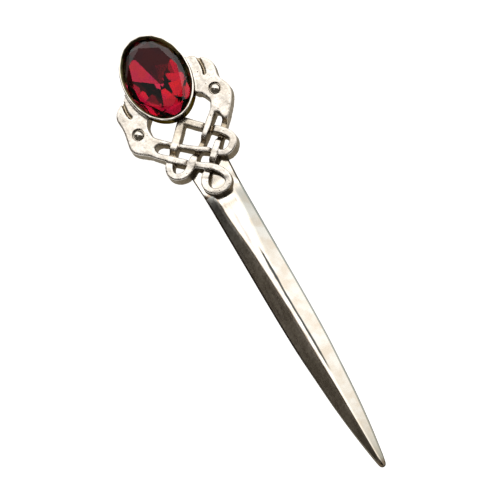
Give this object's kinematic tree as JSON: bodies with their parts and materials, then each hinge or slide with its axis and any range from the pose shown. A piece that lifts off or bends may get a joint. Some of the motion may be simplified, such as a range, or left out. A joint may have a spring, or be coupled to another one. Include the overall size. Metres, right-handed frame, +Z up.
{
  "type": "kilt pin",
  "caption": "Long cast kilt pin in the form of a dirk, with a pierced interlaced knot, two beast heads holding an oval faceted stone, and a pin bar on its flat back.",
  "frame": {"origin": "on the surface that the pin lies on, under the middle of the whole pin's box", "axes": "+Z up, out of the face with the stone; +Y along the pin from the tip of the blade towards the stone; +X to the wearer's left as one looks at the face"},
  "size_m": [0.0182, 0.0788, 0.0085],
  "materials": {
    "cast_metal": "cast alloy plated silver-white and tumbled to a soft polish, slightly warm",
    "stone_glass": "deep red cut glass, polished facets, foiled behind",
    "pin_steel": "plain plated steel, satin"
  },
  "bodies": {
    "root": {"casting": "cast_metal", "stone": "stone_glass", "pin_bar": "pin_steel"}
  },
  "joints": []
}
